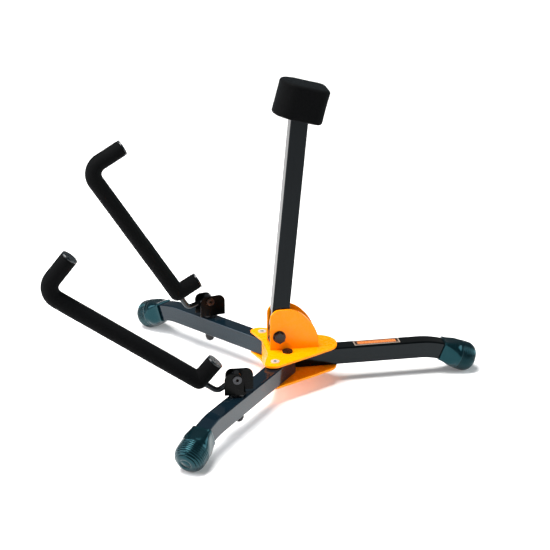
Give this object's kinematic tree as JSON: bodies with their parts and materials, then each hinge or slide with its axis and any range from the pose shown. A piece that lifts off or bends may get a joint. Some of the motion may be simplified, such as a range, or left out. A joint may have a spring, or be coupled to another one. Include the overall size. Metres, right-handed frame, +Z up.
{
  "type": "folding guitar stand",
  "caption": "Low folding tripod stand for a small guitar: plate hub, folding legs with rubber boots, padded swivelling cradle arms and a hinged post with a foam back rest.",
  "frame": {"origin": "middle of the footprint at floor level", "axes": "+Z up, +Y from the cradle side to the rear leg, +X to the stand's own left-hand side of a player facing it"},
  "size_m": [0.3716, 0.4402, 0.3162],
  "materials": {
    "black_oxide": "black oxide",
    "black_plastic": "moulded",
    "boot_rubber": "moulded",
    "bracket_enamel": "satin powder coat",
    "foam_rubber": "closed-cell foam",
    "hub_enamel": "gloss powder coat",
    "label_face": "blank label",
    "leg_enamel": "gloss powder coat",
    "nickel": "nickel plate",
    "nylon": "moulded",
    "rod_enamel": "gloss enamel",
    "spring_steel": "tempered",
    "zinc": "zinc plate"
  },
  "bodies": {
    "base": {"hub_shell": "hub_enamel", "upright_bracket": "hub_enamel", "hub_bolt": "black_oxide", "hub_lock_nut": "black_oxide", "right_hub_washer": "black_oxide", "left_hub_washer": "black_oxide", "rear_leg_tube": "leg_enamel", "rear_boot": "boot_rubber", "rear_leg_packing": "zinc", "rear_leg_rivets": "zinc", "blank_label": "label_face", "right_fold_pin": "black_oxide", "left_fold_pin": "black_oxide", "right_glide_washer": "nylon", "left_glide_washer": "nylon", "right_detent_eyelet": "nickel", "left_detent_eyelet": "nickel"},
    "backrest": {"backrest_post": "leg_enamel", "pivot_sleeve": "nylon", "post_plug": "black_plastic", "backrest_pad": "foam_rubber"},
    "right_leg": {"right_leg_tube": "leg_enamel", "right_boot": "boot_rubber", "right_snap_clip": "spring_steel", "right_swivel_bolt": "black_oxide", "right_domed_nut": "black_oxide", "right_swivel_spacer": "black_oxide"},
    "right_bracket": {"right_arm_bracket": "bracket_enamel", "right_arm_rivet": "nickel"},
    "right_arm": {"right_arm_barrel": "rod_enamel", "right_arm_rod": "rod_enamel", "right_arm_sleeve": "foam_rubber", "right_horn_sleeve": "foam_rubber", "right_arm_end_disc": "black_plastic", "right_horn_end_disc": "black_plastic"},
    "left_leg": {"left_leg_tube": "leg_enamel", "left_boot": "boot_rubber", "left_snap_clip": "spring_steel", "left_swivel_bolt": "black_oxide", "left_domed_nut": "black_oxide", "left_swivel_spacer": "black_oxide"},
    "left_bracket": {"left_arm_bracket": "bracket_enamel", "left_arm_rivet": "nickel"},
    "left_arm": {"left_arm_barrel": "rod_enamel", "left_arm_rod": "rod_enamel", "left_arm_sleeve": "foam_rubber", "left_horn_sleeve": "foam_rubber", "left_arm_end_disc": "black_plastic", "left_horn_end_disc": "black_plastic"}
  },
  "joints": [
    {"name": "backrest_fold", "type": "hinge", "parent": "base", "child": "backrest", "pos_m": [0, 0.01383, 0.0554], "axis": [-1, 0, 0], "range_deg": [0, 84.5]},
    {"name": "right_leg_fold", "type": "hinge", "parent": "base", "child": "right_leg", "pos_m": [0.0169, 0.02093, 0.0284], "axis": [0, 0, 1], "range_deg": [0, 123]},
    {"name": "right_arm_swivel", "type": "hinge", "parent": "right_leg", "child": "right_bracket", "pos_m": [0.0982, -0.041, 0.041], "axis": [0, 0, 1], "range_deg": [-18, 56.7]},
    {"name": "right_arm_tilt", "type": "hinge", "parent": "right_bracket", "child": "right_arm", "pos_m": [0.09809, -0.0425, 0.0563], "axis": [-0.9976, 0.0698, 0], "range_deg": [-8.5, 53.5]},
    {"name": "left_leg_fold", "type": "hinge", "parent": "base", "child": "left_leg", "pos_m": [-0.0169, 0.02093, 0.0284], "axis": [0, 0, -1], "range_deg": [0, 123]},
    {"name": "left_arm_swivel", "type": "hinge", "parent": "left_leg", "child": "left_bracket", "pos_m": [-0.0982, -0.041, 0.041], "axis": [0, 0, -1], "range_deg": [-10, 64.7]},
    {"name": "left_arm_tilt", "type": "hinge", "parent": "left_bracket", "child": "left_arm", "pos_m": [-0.09789, -0.04247, 0.0563], "axis": [-0.9781, -0.2079, 0], "range_deg": [-32, 30]}
  ]
}
